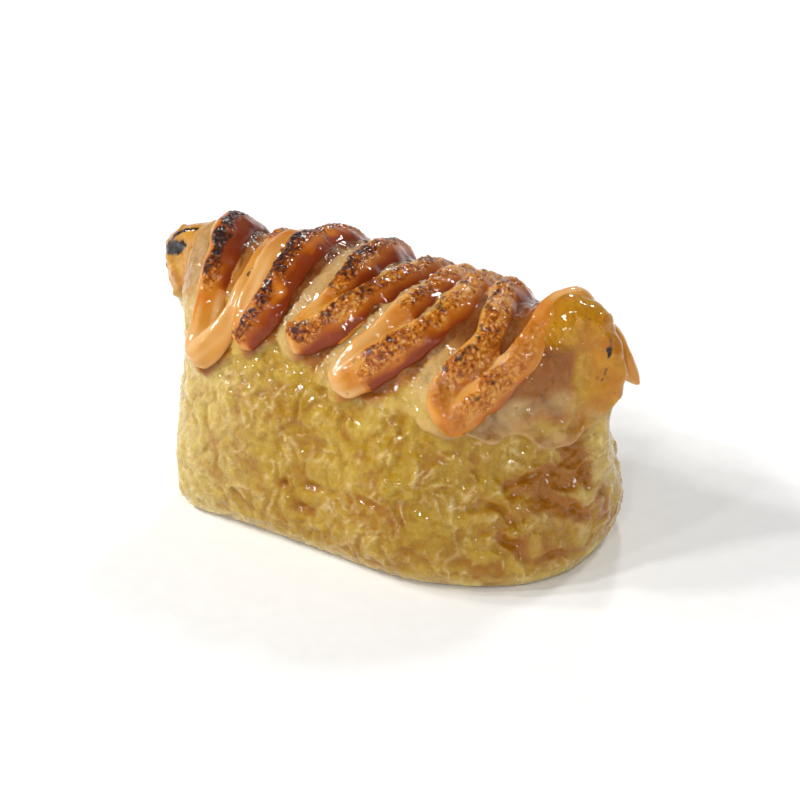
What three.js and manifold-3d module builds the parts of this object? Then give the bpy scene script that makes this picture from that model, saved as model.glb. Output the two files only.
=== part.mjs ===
// An inari sushi: a fried tofu pouch packed with rice, lying on its tucked-under opening, with a
// thick zigzag of torched mayonnaise piped over its ridge. Millimetres, +Z up, +X along the ridge,
// -Y towards the front face. The finished part stands on z = 0 with its bounding box centred on the
// origin; until then x and y are measured from the middle of the pouch's foot.
import * as THREE from "three";
import { mergeVertices } from "three/addons/utils/BufferGeometryUtils.js";
import Module from "manifold-3d";

const wasm = await Module();
wasm.setup();

// ---- Driving dimensions ----
const BODY_LENGTH = 64; // of the foot of the pouch, along the ridge
const BODY_WIDTH = 38; // across the belly
const RIDGE_HEIGHT = 36; // of the skin, at the middle of the ridge
const SAUCE_GAP = 0.3; // the sauce's clearance from the skin

// ---- Pouch ----
const STATIONS = 44; // cross-sections along the pouch
const AROUND = 22; // steps up one side of a cross-section

// Half a cross-section, from the middle of the base up to the ridge: [share of the half width,
// share of the height].
const HALF_SECTION = new THREE.SplineCurve(
  [
    [0.0, 0.0],
    [0.45, 0.0],
    [0.88, 0.0],
    [0.98, 0.07],
    [1.0, 0.28],
    [0.96, 0.5],
    [0.8, 0.72],
    [0.48, 0.92],
    [0.2, 0.99],
    [0.0, 1.0],
  ].map(([across, up]) => new THREE.Vector2((across * BODY_WIDTH) / 2, up * RIDGE_HEIGHT)),
);

// A quantity that changes smoothly between stated places: [place, value] pairs in rising order of place.
function along(pairs) {
  return (place) => {
    const last = pairs.length - 1;
    if (place <= pairs[0][0]) return pairs[0][1];
    if (place >= pairs[last][0]) return pairs[last][1];
    const i = pairs.findIndex(([p]) => p > place);
    const [p0, v0] = pairs[i - 1];
    const [p1, v1] = pairs[i];
    return THREE.MathUtils.lerp(v0, v1, THREE.MathUtils.smoothstep(place, p0, p1));
  };
}

// Height of the ridge along the pouch, as a share of RIDGE_HEIGHT.
const ridgeShare = along([
  [-1.0, 0.99],
  [-0.93, 1.02],
  [-0.8, 1.01],
  [-0.6, 0.96],
  [-0.35, 1.02],
  [0.1, 0.98],
  [0.6, 0.968],
  [0.8, 1.06],
  [0.92, 1.03],
  [1.0, 0.96],
]);
// How far each end reaches at each height, as a share of BODY_LENGTH / 2: a full foot, a waist and an ear.
const leftReach = along([
  [0.0, 0.93],
  [0.12, 0.98],
  [0.3, 1.01],
  [0.5, 1.06],
  [0.8, 1.21],
  [0.92, 1.22],
  [1.0, 1.17],
]);
const rightReach = along([
  [0.0, 0.95],
  [0.12, 0.995],
  [0.28, 1.005],
  [0.45, 0.98],
  [0.62, 0.99],
  [0.85, 1.045],
  [0.95, 1.03],
  [1.0, 0.98],
]);
// Where the packed belly stops and only the ear goes on, as a share of the reach at each height.
const bellyEnd = along([
  [0.0, 1.0],
  [0.3, 1.0],
  [0.8, 0.9],
  [1.0, 0.87],
]);
// Half the thickness of each end's edge by height: round at the foot, two layers of skin pressed
// together at the ear.
const edgeHalf = along([
  [0.0, 6.5],
  [0.28, 6.0],
  [0.6, 2.2],
  [0.8, 1.7],
]);
const EDGE_ROUNDING = 16; // power of the station at which the edge thins out
const EDGE_TIP = 0.6; // half the thickness of the edge, at the very end
const EDGE_NEAR = [0.5, 0.85]; // stations between which the edge comes in
const EDGE_CLOSING = 5; // how soon the edge closes towards the middle of the base and the ridge
// The belly's ends are rounder near the foot: the power that shapes them grows from the first number
// to 1 between the two heights, given as shares.
const FOOT_ROUNDING = { power: 0.5, from: 0.05, to: 0.45 };
// How squarely the belly fills each end in plan, at the foot and at the ridge: 2 is an ellipse.
const SQUARENESS = {
  left: { front: [7.0, 7.0], back: [6.0, 5.0] },
  right: { front: [2.7, 3.6], back: [4.5, 4.5] },
};
// Sideways wander of the middle of the pouch.
const wander = along([
  [-1.0, -2.5],
  [-0.6, 0.0],
  [0.5, 0.0],
  [1.0, 2.5],
]);

// Hollows pressed into the rice, and swells where depth is negative: millimetres, side -1 is the
// front and 1 the back.
const DENTS = [
  { x: 26, z: 24, side: -1, radius: 6, depth: 1.6 }, // below the right ear
  { x: -19, z: 9, side: -1, radius: 8, depth: -0.8 },
  { x: -5, z: 17, side: -1, radius: 7, depth: 0.7 },
  { x: 9, z: 8, side: -1, radius: 8, depth: -1.1 },
  { x: 19, z: 15, side: -1, radius: 5, depth: 0.8 },
  { x: -16, z: 14, side: 1, radius: 9, depth: 0.9 },
  { x: 4, z: 10, side: 1, radius: 8, depth: -0.9 },
  { x: 21, z: 20, side: 1, radius: 6, depth: 0.9 },
];

// How far the skin is pressed in at a place.
function pressed(x, z, side) {
  const dents = DENTS.filter((dent) => dent.side === side);
  return dents.reduce((sum, dent) => {
    const away = Math.hypot(x - dent.x, z - dent.z) / dent.radius;
    return sum + dent.depth * Math.exp(-(away ** 2));
  }, 0);
}

// A point of the skin, grown outwards by a margin. station runs from -1 to 1 along the pouch, climb
// from 0 at the middle of the base to 1 at the ridge, and side is -1 on the front and 1 on the back.
function skinPoint(station, climb, side, margin) {
  const section = HALF_SECTION.getPointAt(climb);
  const across = section.x / (BODY_WIDTH / 2);
  const up = THREE.MathUtils.clamp(section.y / RIDGE_HEIGHT, 0, 1);
  const reach = (station < 0 ? leftReach(up) : rightReach(up)) * (BODY_LENGTH / 2);
  const [atFoot, atRidge] = SQUARENESS[station < 0 ? "left" : "right"][side < 0 ? "front" : "back"];
  const squareness = THREE.MathUtils.lerp(atFoot, atRidge, up);
  const filled = Math.min(1, Math.abs(station) / bellyEnd(up));
  const { power, from, to } = FOOT_ROUNDING;
  const rounding = THREE.MathUtils.lerp(power, 1, THREE.MathUtils.smoothstep(up, from, to));
  const belly = (BODY_WIDTH / 2) * across * (1 - filled ** squareness) ** rounding;
  const thinning = Math.sqrt(1 - Math.abs(station) ** EDGE_ROUNDING);
  const nearEnd = THREE.MathUtils.smoothstep(Math.abs(station), ...EDGE_NEAR);
  const thickness = Math.max(EDGE_TIP, edgeHalf(up) * thinning * nearEnd);
  const edge = thickness * Math.min(1, across * EDGE_CLOSING);
  const x = station * (reach + margin);
  const z = up * (RIDGE_HEIGHT * ridgeShare(station) + 2 * margin) - margin;
  const dented = pressed(x, z, side) * across * Math.min(1, belly / edgeHalf(up));
  const half = Math.hypot(belly, edge) - dented;
  return new THREE.Vector3(x, wander(station) + side * (half + margin), z);
}

// A closed solid through rings of points, each ring counterclockwise seen from the start, with flat ends.
function loft(rings) {
  const positions = [];
  const faces = [];
  const count = rings[0].length;
  const index = rings.map((ring) => ring.map((p) => positions.push(...p.toArray()) / 3 - 1));
  for (let i = 0; i + 1 < rings.length; i++)
    for (let j = 0; j < count; j++) {
      const k = (j + 1) % count;
      const [a, b, c, d] = [index[i][j], index[i + 1][j], index[i + 1][k], index[i][k]];
      const slant = rings[i][j].distanceTo(rings[i + 1][k]) - rings[i + 1][j].distanceTo(rings[i][k]);
      if (slant < 0) faces.push(a, b, c, a, c, d);
      else faces.push(a, b, d, b, c, d);
    }
  for (let j = 0; 2 * j < count; j++) {
    const k = (count - j - 1) % count;
    const l = (count - j) % count;
    const caps = [
      [index[0], [0, 1, 2, 3]],
      [index[rings.length - 1], [0, 3, 2, 1]],
    ];
    for (const [ring, order] of caps) {
      const corners = [ring[j], ring[j + 1], ring[k], ring[l]];
      const [a, b, c, d] = order.map((n) => corners[n]);
      if (new Set([a, b, c]).size === 3) faces.push(a, b, c);
      if (new Set([a, c, d]).size === 3) faces.push(a, c, d);
    }
  }
  const geometry = new THREE.BufferGeometry();
  geometry.setAttribute("position", new THREE.Float32BufferAttribute(positions, 3));
  geometry.setIndex(faces);
  return geometry;
}

function pouchGeometry(margin) {
  const rings = [];
  for (let i = 0; i <= STATIONS; i++) {
    const station = -Math.cos((Math.PI * i) / STATIONS);
    const ring = [];
    for (let j = 0; j <= AROUND; j++) ring.push(skinPoint(station, j / AROUND, -1, margin));
    for (let j = AROUND - 1; j > 0; j--) ring.push(skinPoint(station, j / AROUND, 1, margin));
    rings.push(ring);
  }
  return loft(rings);
}

const pouch = new THREE.Mesh(
  pouchGeometry(0),
  new THREE.MeshStandardMaterial({ color: 0xc9a45a, roughness: 0.45, metalness: 0 }),
);
pouch.name = "pouch";

// ---- Sauce ----
const STRAND_HALF_WIDTH = 2.3; // on the skin
const STRAND_HALF_HEIGHT = 2.0;
const STRAND_LIFT = 1.0; // of the strand's middle above the skin
const CREST_NARROWING = 0.25; // of the width, towards the crest
const FLANK_SPREAD = 0.22; // by which the flank towards +X is wider than half the strand
const CREST_LEAN = 0.2; // of the half width, by which the crest leans towards -X
const STEP = 2.2; // between cross-sections of a strand
const STRAND_SIDES = 8;
const FINEST_STEP = 0.1; // unevenness that is smoothed away
const WELD = 1e-4; // distance at which two vertices are one
const AXIS_HEIGHT = 15; // of the line along X that the angles below are measured about
const CAST_FROM = 80; // distance outside the skin
const MM_PER_DEGREE = 0.4; // along the skin, roughly
const EVENED = 2; // cross-sections on either side over which the outward direction is averaged

// The zigzag, limb by limb: [x, degrees about the axis], 0 on the ridge and negative on the front. A
// third number is the strand's size there, as a share of its full size.
const LIMBS = [
  [[-29.6, 34], [-29.0, 16], [-28.6, -2], [-26.6, -16], [-24.8, -34], [-24.4, -48], [-23.4, -56]],
  [[-23.4, -56], [-20.8, -47], [-19.8, -34], [-20.4, -16], [-21.4, 0], [-22.0, 22], [-20.8, 32]],
  [[-20.8, 32], [-19.6, 20], [-19.6, 0], [-18.4, -14], [-17.3, -26], [-17.2, -36], [-16.2, -45]],
  [[-16.2, -45], [-14.9, -37], [-14.0, -27], [-13.9, -16], [-14.3, 0], [-13.4, 22], [-11.4, 40]],
  [[-11.4, 40], [-7.4, 36], [-5.8, 18], [-5.5, 0], [-5.4, -14], [-6.6, -28], [-8.2, -39]],
  [[-8.2, -39], [-5.0, -33], [-2.2, -23], [0.0, -12], [1.4, 2], [2.0, 22], [3.8, 38]],
  [[3.8, 38], [5.8, 22], [6.1, 4], [5.4, -14], [3.4, -28], [1.0, -41], [0.5, -50]],
  [[0.5, -50], [3.2, -44], [6.2, -34], [9.2, -23], [10.7, -10], [10.2, 8], [9.8, 24], [11.2, 40]],
  [[11.2, 40], [13.6, 30], [14.4, 12], [16.0, -4], [17.2, -16], [16.6, -26], [14.9, -36], [14.3, -45]],
  [[14.3, -45], [16.0, -51]],
  [[16.0, -51], [18.0, -42], [20.5, -26], [22.5, -14], [23.2, -6, 0.8], [23.8, 2, 0.6], [25.4, 22, 0.9]],
];
// The tail that hangs off behind the right ear: [x, y, z, size].
const TAIL = [
  [28.4, 7.9, 31.2, 0.95],
  [30.8, 7.3, 28.6, 0.85],
  [32.4, 7.1, 27.0, 0.5],
  [33.5, 7.0, 26.0, 0.2],
];
const TAIL_OUTWARDS = new THREE.Vector3(0, 0.9, 0.44);

// A closed solid that can be joined and cut.
function solid(geometry) {
  geometry.deleteAttribute("normal");
  geometry.deleteAttribute("uv");
  const merged = mergeVertices(geometry, WELD);
  const vertProperties = new Float32Array(merged.attributes.position.array);
  return new wasm.Manifold(
    new wasm.Mesh({ numProp: 3, vertProperties, triVerts: new Uint32Array(merged.index.array) }),
  );
}

// The skin's point and outward direction where the sauce lies at x and an angle about the axis.
const caster = new THREE.Raycaster();
function onSkin(x, degrees) {
  const angle = THREE.MathUtils.degToRad(degrees);
  const outwards = new THREE.Vector3(0, Math.sin(angle), Math.cos(angle));
  const start = new THREE.Vector3(x, 0, AXIS_HEIGHT).addScaledVector(outwards, CAST_FROM);
  caster.set(start, outwards.clone().negate());
  const [hit] = caster.intersectObject(pouch);
  return { point: hit.point, outwards: hit.face.normal.clone() };
}

// Cross-sections of a strand along its middle line, each square to the line and standing on the skin.
function strandRings(middles, outwards, sizes) {
  return middles.map((middle, i) => {
    const before = middles[Math.max(i - 1, 0)];
    const after = middles[Math.min(i + 1, middles.length - 1)];
    const onwards = after.clone().sub(before).normalize();
    const across = new THREE.Vector3().crossVectors(onwards, outwards[i]).normalize();
    const away = new THREE.Vector3().crossVectors(across, onwards);
    const ring = [];
    for (let j = 0; j < STRAND_SIDES; j++) {
      const turn = (2 * Math.PI * j) / STRAND_SIDES;
      const crest = Math.max(0, Math.sin(turn));
      const spread = 1 + FLANK_SPREAD * across.x * Math.cos(turn);
      const rounded = Math.cos(turn) * (1 - CREST_NARROWING * crest) * spread;
      const sideways = STRAND_HALF_WIDTH * sizes[i] * (rounded - CREST_LEAN * across.x * crest);
      const upwards = STRAND_HALF_HEIGHT * sizes[i] * Math.sin(turn);
      ring.push(middle.clone().addScaledVector(across, sideways).addScaledVector(away, upwards));
    }
    return ring;
  });
}

function limbSolid(stops) {
  const turns = stops.map(([x, degrees, size = 1]) => new THREE.Vector3(x, degrees * MM_PER_DEGREE, size));
  const route = new THREE.CatmullRomCurve3(turns);
  const line = route.getSpacedPoints(Math.ceil(route.getLength() / STEP));
  const sizes = line.map((p) => p.z);
  const places = line.map((p) => onSkin(p.x, p.y / MM_PER_DEGREE));
  const outwards = places.map((_, i) =>
    places
      .slice(Math.max(i - EVENED, 0), i + EVENED + 1)
      .reduce((sum, place) => sum.add(place.outwards), new THREE.Vector3())
      .normalize(),
  );
  const middles = places.map((place, i) =>
    place.point.clone().addScaledVector(outwards[i], STRAND_LIFT * sizes[i]),
  );
  const body = solid(loft(strandRings(middles, outwards, sizes)));
  const end = { middle: middles[middles.length - 1], size: sizes[sizes.length - 1] };
  return { body, start: { middle: middles[0], size: sizes[0] }, end };
}

function sauceGeometry() {
  const limbs = LIMBS.map(limbSolid);
  const pieces = limbs.map(({ body }) => body);
  for (const { middle, size } of [limbs[0].start, ...limbs.map(({ end }) => end)]) {
    const ball = new THREE.SphereGeometry(STRAND_HALF_WIDTH * size, STRAND_SIDES, STRAND_SIDES);
    pieces.push(solid(ball.translate(...middle.toArray())));
  }
  const last = limbs[limbs.length - 1].end;
  const tail = [[...last.middle.toArray(), last.size], ...TAIL];
  const middles = tail.map(([x, y, z]) => new THREE.Vector3(x, y, z));
  const sizes = tail.map(([, , , size]) => size);
  pieces.push(solid(loft(strandRings(middles, middles.map(() => TAIL_OUTWARDS), sizes))));
  const joined = pieces.reduce((sum, piece) => sum.add(piece));
  const fitted = joined.subtract(solid(pouchGeometry(SAUCE_GAP))).simplify(FINEST_STEP);
  const { vertProperties, triVerts } = fitted.getMesh();
  const geometry = new THREE.BufferGeometry();
  geometry.setAttribute("position", new THREE.BufferAttribute(vertProperties, 3));
  geometry.setIndex(new THREE.BufferAttribute(triVerts, 1));
  return geometry;
}

const sauce = new THREE.Mesh(
  sauceGeometry(),
  new THREE.MeshStandardMaterial({ color: 0xc8762c, roughness: 0.35, metalness: 0 }),
);
sauce.name = "sauce_zigzag";

const part = new THREE.Group();
part.add(pouch, sauce);
const box = new THREE.Box3().setFromObject(part);
const middle = box.getCenter(new THREE.Vector3());
for (const mesh of part.children) mesh.geometry.translate(-middle.x, -middle.y, -box.min.z);
export default part;
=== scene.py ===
# %% [markdown]
# # An inari sushi with torched mayonnaise
# The real thing is a pouch of fried tofu, simmered in sweet soy, packed with rice and laid on its
# tucked-under opening. A thick zigzag of mayonnaise is piped over the ridge and browned with a torch.
# The CAD frame holds the two solids and their true sizes. This lesson gives them their skin.

import math

import bpy
import numpy as np
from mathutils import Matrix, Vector, kdtree, noise
from mathutils.bvhtree import BVHTree


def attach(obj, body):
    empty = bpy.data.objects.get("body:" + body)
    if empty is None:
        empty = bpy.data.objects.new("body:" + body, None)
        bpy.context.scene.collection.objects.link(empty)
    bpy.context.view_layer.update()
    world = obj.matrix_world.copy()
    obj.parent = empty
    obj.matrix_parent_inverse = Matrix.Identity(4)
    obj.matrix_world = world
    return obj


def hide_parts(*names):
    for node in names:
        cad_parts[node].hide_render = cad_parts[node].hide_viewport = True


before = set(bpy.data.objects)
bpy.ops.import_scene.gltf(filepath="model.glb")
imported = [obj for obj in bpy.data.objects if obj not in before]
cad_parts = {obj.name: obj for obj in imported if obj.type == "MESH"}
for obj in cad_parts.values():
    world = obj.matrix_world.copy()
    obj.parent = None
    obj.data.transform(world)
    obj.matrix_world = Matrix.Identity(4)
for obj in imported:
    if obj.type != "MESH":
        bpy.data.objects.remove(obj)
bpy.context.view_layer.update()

# %% [markdown]
# ## The line of the zigzag
# The strand is piped back and forth over the ridge, so its middle line lies on the skin. It could be
# drawn as a curve in space, but then every bend would have to be fitted to the pouch by hand. So each
# stop below is only a place along the ridge and an angle about a line inside the pouch, 0 on the ridge
# and negative on the front, and a ray cast inwards finds the skin there. The other two numbers are how
# thick the strand is and how far the torch has taken it, from raw at 0 to charred at 1.
#
# All shaping is done in millimetres, because wrinkles, crust and film are about a millimetre in size.
# A finished mesh is scaled to metres once, at its end.

# %% Stops of the zigzag
MM = 0.001
FOOT_MIDDLE = 2.58  # mm along the ridge, the middle of the foot, from which places are measured
AXIS_HEIGHT = 15  # mm, of the line that the angles turn about
MM_PER_DEGREE = 0.4

# along the ridge in mm, angle, thickness, torching
STOPS = [
    (-29.6, 34, 1.00, 0.40),
    (-29.0, 16, 1.05, 0.75),
    (-28.6, -2, 1.15, 1.00),
    (-26.6, -16, 1.12, 0.88),
    (-24.8, -34, 0.98, 0.30),
    (-24.4, -48, 0.92, 0.10),
    (-23.4, -56, 1.02, 0.02),
    (-20.8, -47, 0.85, 0.02),
    (-19.8, -34, 0.68, 0.02),
    (-20.4, -16, 0.65, 0.10),
    (-21.4, 0, 0.80, 0.35),
    (-22.0, 22, 1.00, 0.50),
    (-20.8, 32, 1.05, 0.30),
    (-19.6, 20, 1.00, 0.50),
    (-19.6, 0, 0.90, 0.25),
    (-18.4, -14, 0.85, 0.10),
    (-17.3, -26, 0.85, 0.05),
    (-17.2, -36, 0.90, 0.08),
    (-16.2, -45, 1.00, 0.55),
    (-14.9, -37, 1.05, 0.66),
    (-14.0, -27, 1.05, 0.78),
    (-13.9, -16, 1.05, 0.82),
    (-14.3, 0, 1.15, 0.70),
    (-13.4, 22, 1.00, 0.60),
    (-11.4, 40, 1.00, 0.35),
    (-7.4, 36, 1.00, 0.40),
    (-5.8, 18, 1.05, 0.55),
    (-5.5, 0, 1.10, 0.64),
    (-5.4, -14, 1.00, 0.70),
    (-6.6, -28, 0.85, 0.15),
    (-8.2, -39, 1.10, 0.60),
    (-5.0, -33, 1.10, 0.55),
    (-2.2, -23, 1.10, 0.52),
    (0.0, -12, 1.05, 0.54),
    (1.4, 2, 1.05, 0.52),
    (2.0, 22, 1.00, 0.48),
    (3.8, 38, 1.00, 0.35),
    (5.8, 22, 1.00, 0.42),
    (6.1, 4, 0.95, 0.46),
    (5.4, -14, 0.95, 0.52),
    (3.4, -28, 0.85, 0.12),
    (1.0, -41, 0.95, 0.04),
    (0.5, -50, 1.10, 0.02),
    (3.2, -44, 1.15, 0.46),
    (6.2, -34, 1.10, 0.48),
    (9.2, -23, 1.05, 0.47),
    (10.7, -10, 1.05, 0.44),
    (10.2, 8, 1.05, 0.44),
    (9.8, 24, 1.00, 0.44),
    (11.2, 40, 1.00, 0.30),
    (13.6, 30, 1.00, 0.38),
    (14.4, 12, 1.05, 0.46),
    (16.0, -4, 1.05, 0.44),
    (17.2, -16, 1.00, 0.44),
    (16.6, -26, 1.05, 0.44),
    (14.9, -36, 1.10, 0.44),
    (14.3, -45, 1.15, 0.38),
    (16.0, -51, 1.20, 0.36),
    (18.0, -42, 1.12, 0.42),
    (20.5, -26, 1.00, 0.42),
    (22.5, -14, 0.90, 0.38),
    (23.2, -6, 0.75, 0.36),
    (23.8, 2, 0.60, 0.20),
    (25.9, 11, 0.78, 0.03),
    (25.8, 22, 0.90, 0.03),
]
print("stops of the zigzag:", len(STOPS))

# %% A smooth line through the stops
STEP = 0.5  # mm between neighbouring points of the line


def through(stops):
    """A smooth line through the stops, with a point about every step of the way (Catmull-Rom)."""
    rows = np.array(stops, float)
    ends = np.vstack([2 * rows[0] - rows[1], rows, 2 * rows[-1] - rows[-2]])
    line = []
    for before, start, end, after in zip(ends, ends[1:], ends[2:], ends[3:]):
        reach = np.linalg.norm((end - start)[:3] * [1, MM_PER_DEGREE, 1])
        for share in np.linspace(0, 1, max(2, round(reach / STEP)), endpoint=False):
            bend = 2 * before - 5 * start + 4 * end - after
            twist = 3 * start - before - 3 * end + after
            line.append(0.5 * (2 * start + (end - before) * share + bend * share**2 + twist * share**3))
    return np.array([*line, rows[-1]])


route = through(STOPS)
print("points on the line:", len(route))

# %% Find the skin under the line
RAY_LENGTH = 80  # mm, enough to start well outside the pouch


def points_of(mesh):
    """Every vertex's place as rows of x, y, z."""
    flat = np.empty(len(mesh.vertices) * 3, np.float32)
    mesh.vertices.foreach_get("co", flat)
    return flat.reshape(-1, 3).astype(float)


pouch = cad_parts["pouch"].data
pouch_points = points_of(pouch) / MM
pouch_faces = [tuple(face.vertices) for face in pouch.polygons]
pouch_tree = BVHTree.FromPolygons(pouch_points.tolist(), pouch_faces)


def on_skin(along, degrees):
    """Where the pouch's skin is at a stop, and which way is out."""
    outwards = Vector((0, math.sin(math.radians(degrees)), math.cos(math.radians(degrees))))
    start = Vector((along + FOOT_MIDDLE, 0, AXIS_HEIGHT)) + outwards * RAY_LENGTH
    place, away, _, _ = pouch_tree.ray_cast(start, -outwards)
    return place, away


hits = [on_skin(along, degrees) for along, degrees, _, _ in route]
skin_line = np.array([place for place, _ in hits])
skin_out = np.array([away for _, away in hits])
# The CAD skin is made of flat faces, so its outward direction is evened out over nine points.
window = np.ones(9) / 9
skin_out = np.stack([np.convolve(np.pad(column, 4, "edge"), window, "valid") for column in skin_out.T], 1)
skin_out /= np.linalg.norm(skin_out, axis=1)[:, None]
print("strand length on the skin, mm:", round(np.linalg.norm(np.diff(skin_line, axis=0), axis=1).sum()))

# %% [markdown]
# ## The fried tofu skin
# Simmering leaves fried tofu as a thin, wet, crinkled hide, so no part of it is flat. Bump in the
# material would shade like wrinkles but leave the outline smooth, and sculpting each wrinkle would take
# days. So the pouch solid is wrapped in an even mesh that is fine enough for a wrinkle, and noise moves
# its vertices out and in.

# %% Wrap the pouch
SKIN_SQUARE = 0.345  # mm, about a fifth of the finest wrinkle
SKIN_RELAXING = 40  # rounds, enough to lose the edges of the CAD faces


def even_skin(points, faces, square, relaxing):
    """A new mesh that wraps the shape in small even squares, relaxed so that no facet of it shows."""
    mesh = bpy.data.meshes.new("rough")
    mesh.from_pydata(points, [], faces)
    holder = bpy.data.objects.new("rough", mesh)
    bpy.context.scene.collection.objects.link(holder)
    remesh = holder.modifiers.new("remesh", "REMESH")
    remesh.mode = "VOXEL"
    remesh.voxel_size = square
    relax = holder.modifiers.new("relax", "SMOOTH")
    relax.factor = 0.5
    relax.iterations = relaxing
    graph = bpy.context.evaluated_depsgraph_get()
    skin = bpy.data.meshes.new_from_object(holder.evaluated_get(graph))
    bpy.data.objects.remove(holder)
    bpy.data.meshes.remove(mesh)
    return skin


def normals_of(mesh):
    """Every vertex's outward direction."""
    flat = np.empty(len(mesh.vertices) * 3, np.float32)
    mesh.vertex_normals.foreach_get("vector", flat)
    return flat.reshape(-1, 3).astype(float)


skin = even_skin(pouch_points, pouch_faces, SKIN_SQUARE, SKIN_RELAXING)
place = points_of(skin)
out = normals_of(skin)
x, y, z = (place - [FOOT_MIDDLE, 0, 0]).T
angle = np.degrees(np.arctan2(y, z - AXIS_HEIGHT))
print("skin squares:", len(skin.polygons))

# %% [markdown]
# Two patterns of noise make the wrinkles. Turbulence adds up folded noise of three sizes, which gives
# round puffs with sharp valleys between them, and ridged noise gives thin broken crests. The puffs
# stand upright where the rice stretches the hide, and lie flat at the foot of the right end. A slow
# drift bends both, so that nothing runs straight.


# %% Noise and a smooth climb
def smoothstep(low, high, value):
    """0 below low, 1 above high, and a smooth climb between them. With low above high it falls."""
    share = np.clip((np.asarray(value, float) - low) / (high - low), 0, 1)
    return share * share * (3 - 2 * share)


def rumple(points, wavelength, stretch=(1, 1, 1), seed=0.0, pattern=noise.noise):
    """Noise of spread 1 about 0, with swells about a wavelength (mm) apart, drawn out by the stretch."""
    places = points / (wavelength * np.array(stretch)) + seed
    values = np.array([pattern(place) for place in places.tolist()])
    return (values - values.mean()) / values.std()


def puffed(place):
    """Round lumps of three sizes, parted by sharp valleys."""
    return noise.turbulence(place, 3, True)


def ridged(place):
    """Broken sharp crests of three sizes."""
    return noise.ridged_multi_fractal(place, 0.9, 2.1, 3, 1.0, 2.0)


# %% Wrinkles
drift = np.stack([rumple(place, 4, seed=seed) for seed in (3.1, 17.7, 41.3)], 1)
bent = place + 0.5 * drift
folded = smoothstep(8, 22, x) * smoothstep(22, 12, z)  # the flat folds at the foot of the right end
upright = rumple(bent, 2.6, (1, 1, 1.6), 5.0, puffed)
level = rumple(bent, 2.6, (1.7, 1.7, 1), 9.0, puffed)
puffs = upright * (1 - folded) + level * folded
crests = rumple(bent, 1.9, (1, 1, 1.4), 31.0, ridged)
swell = rumple(place, 8, seed=51.0)
relief = 0.09 * puffs + 0.09 * crests + 0.13 * swell  # mm
print("wrinkles, mm:", round(relief.min(), 2), "to", round(relief.max(), 2))

# %% [markdown]
# ## Creases with syrup in them
# Where the hide doubled up as the pouch was packed, deeper creases run over it, and dark syrup stays in
# them. Noise makes wrinkles everywhere alike, so the big creases of the front are laid one by one, each
# as a short line with a width and a depth. Stray ones go all round: they lie along the zero lines of a
# slow noise.

# %% Lay the creases
# From x, z to x, z in mm, half width, depth, and how brown the syrup has made it.
CREASES = [
    (-8.2, 9.7, -3.1, 8.0, 0.8, 0.7, 0.9),
    (-4.6, 12.3, -0.3, 12.1, 0.6, 0.4, 0.5),
    (6.2, 12.9, 10.1, 11.2, 0.7, 0.6, 0.8),
    (15.8, 18.7, 18.0, 17.9, 0.5, 0.4, 0.5),
    (-16.0, 6.5, -12.5, 5.0, 0.6, 0.4, 0.4),
    (13.0, 5.5, 19.0, 5.0, 0.8, 0.6, 0.5),
    (24.5, 16.5, 29.5, 15.0, 0.7, 0.6, 0.8),
    (26.2, 14.5, 29.8, 11.2, 0.9, 0.8, 1.0),
    (23.5, 9.4, 30.3, 5.0, 0.7, 0.8, 0.8),
    (27.5, 20.5, 29.2, 17.0, 0.7, 0.5, 0.8),
    (30.5, 10.5, 33.0, 7.5, 0.7, 0.7, 0.8),
    (21.0, 13.0, 26.0, 12.0, 0.7, 0.6, 0.5),
]
frontward = smoothstep(7, -2, y)
wavy_x = x + 0.6 * drift[:, 0]
wavy_z = z + 0.6 * drift[:, 2]
creased = np.zeros(len(place))
stained = np.zeros(len(place))
for x0, z0, x1, z1, width, depth, brown in CREASES:
    run = x1 - x0
    climb = z1 - z0
    share = np.clip(((x - x0) * run + (z - z0) * climb) / (run**2 + climb**2), 0, 1)
    away = np.hypot(wavy_x - x0 - share * run, wavy_z - z0 - share * climb)
    creased += depth * np.exp(-((away / width) ** 2)) * frontward
    stained = np.maximum(stained, brown * np.exp(-((away / (width * 1.7)) ** 2)) * frontward)
print("deepest laid crease, mm:", round(creased.max(), 2))

# %% Stray creases and syrup all round
stray = np.exp(-((rumple(bent, 8, (1, 1, 0.8), 77.0) / 0.09) ** 2))
stray *= smoothstep(0.2, 1.2, rumple(place, 9, seed=83.0))
creased += 0.35 * stray
stained = np.maximum(stained, 0.35 * stray)
# Syrup also pools in the valleys between the puffs. Towards the right end all the staining is made
# stronger, partly for the syrup and partly as painted shade on the end away from the key lamps.
syrupy = smoothstep(0.2, 1.8, rumple(place, 7, seed=87.0)) * smoothstep(0, -1.2, puffs)
stained = np.clip((1.1 * stained + 0.5 * syrupy) * (1 + 0.5 * smoothstep(17, 23, x)), 0, 1)
print("share of the hide that syrup has stained:", round((stained > 0.5).mean(), 3))

# %% [markdown]
# ## The thin film of sauce
# Mayonnaise melts under the torch and runs out between the strands in a thin, clear, wet film. It
# fills the wrinkles it covers, banks up against the strands and ends in a rounded lip. It could be a
# sheet of its own, but a sheet a third of a millimetre thick would cut through the wrinkles under it.
# So it is a share from 0 to 1 on the skin: where it is 1 the relief is flattened and lifted by the
# film's thickness, and the material changes from hide to sauce.

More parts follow.
